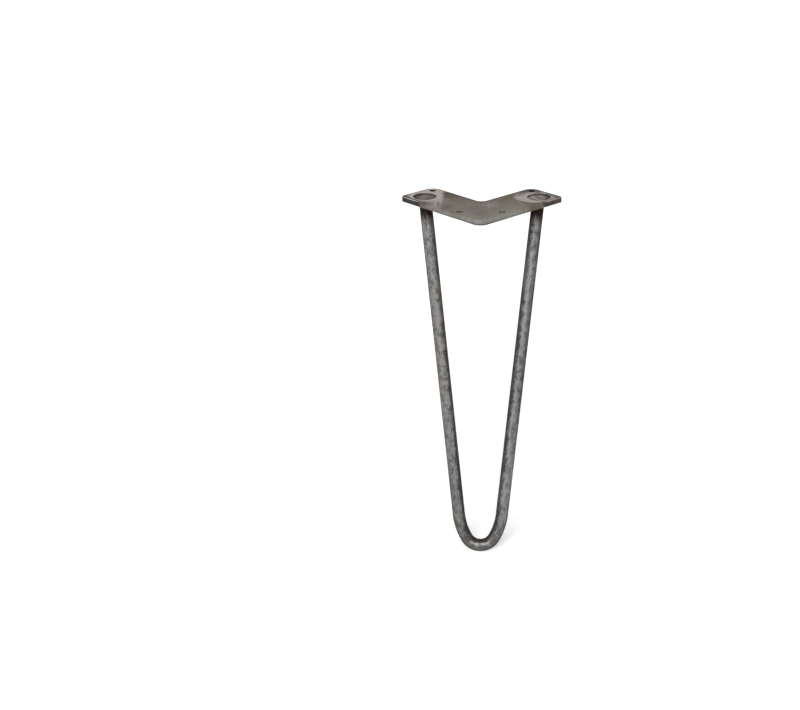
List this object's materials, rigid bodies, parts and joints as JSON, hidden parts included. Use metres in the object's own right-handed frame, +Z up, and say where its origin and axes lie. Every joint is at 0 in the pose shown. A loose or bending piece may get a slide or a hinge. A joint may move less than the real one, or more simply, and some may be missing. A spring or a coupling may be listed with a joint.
{
  "type": "hairpin table leg",
  "caption": "Hairpin table leg: a bent round steel rod leaning outward under a right-angled corner plate with screw holes.",
  "frame": {"origin": "on the top face of the corner plate, where the middle lines of its two arms cross", "axes": "+Z up, out of the face that goes against the table; +X across the leg, to its right seen from the outer corner; +Y from the plate's outer corner towards its inner notch, so inward under the table"},
  "size_m": [0.157, 0.1128, 0.3556],
  "materials": {
    "plate_steel": "raw hot-rolled sheet, satin, ground bright round the welds",
    "rod_steel": "raw hot-rolled bar with patchy mill scale",
    "weld_metal": "weld metal, roughly dressed"
  },
  "bodies": {
    "root": {"mounting_plate": "plate_steel", "bent_rod": "rod_steel", "left_weld": "weld_metal", "right_weld": "weld_metal"}
  },
  "joints": []
}
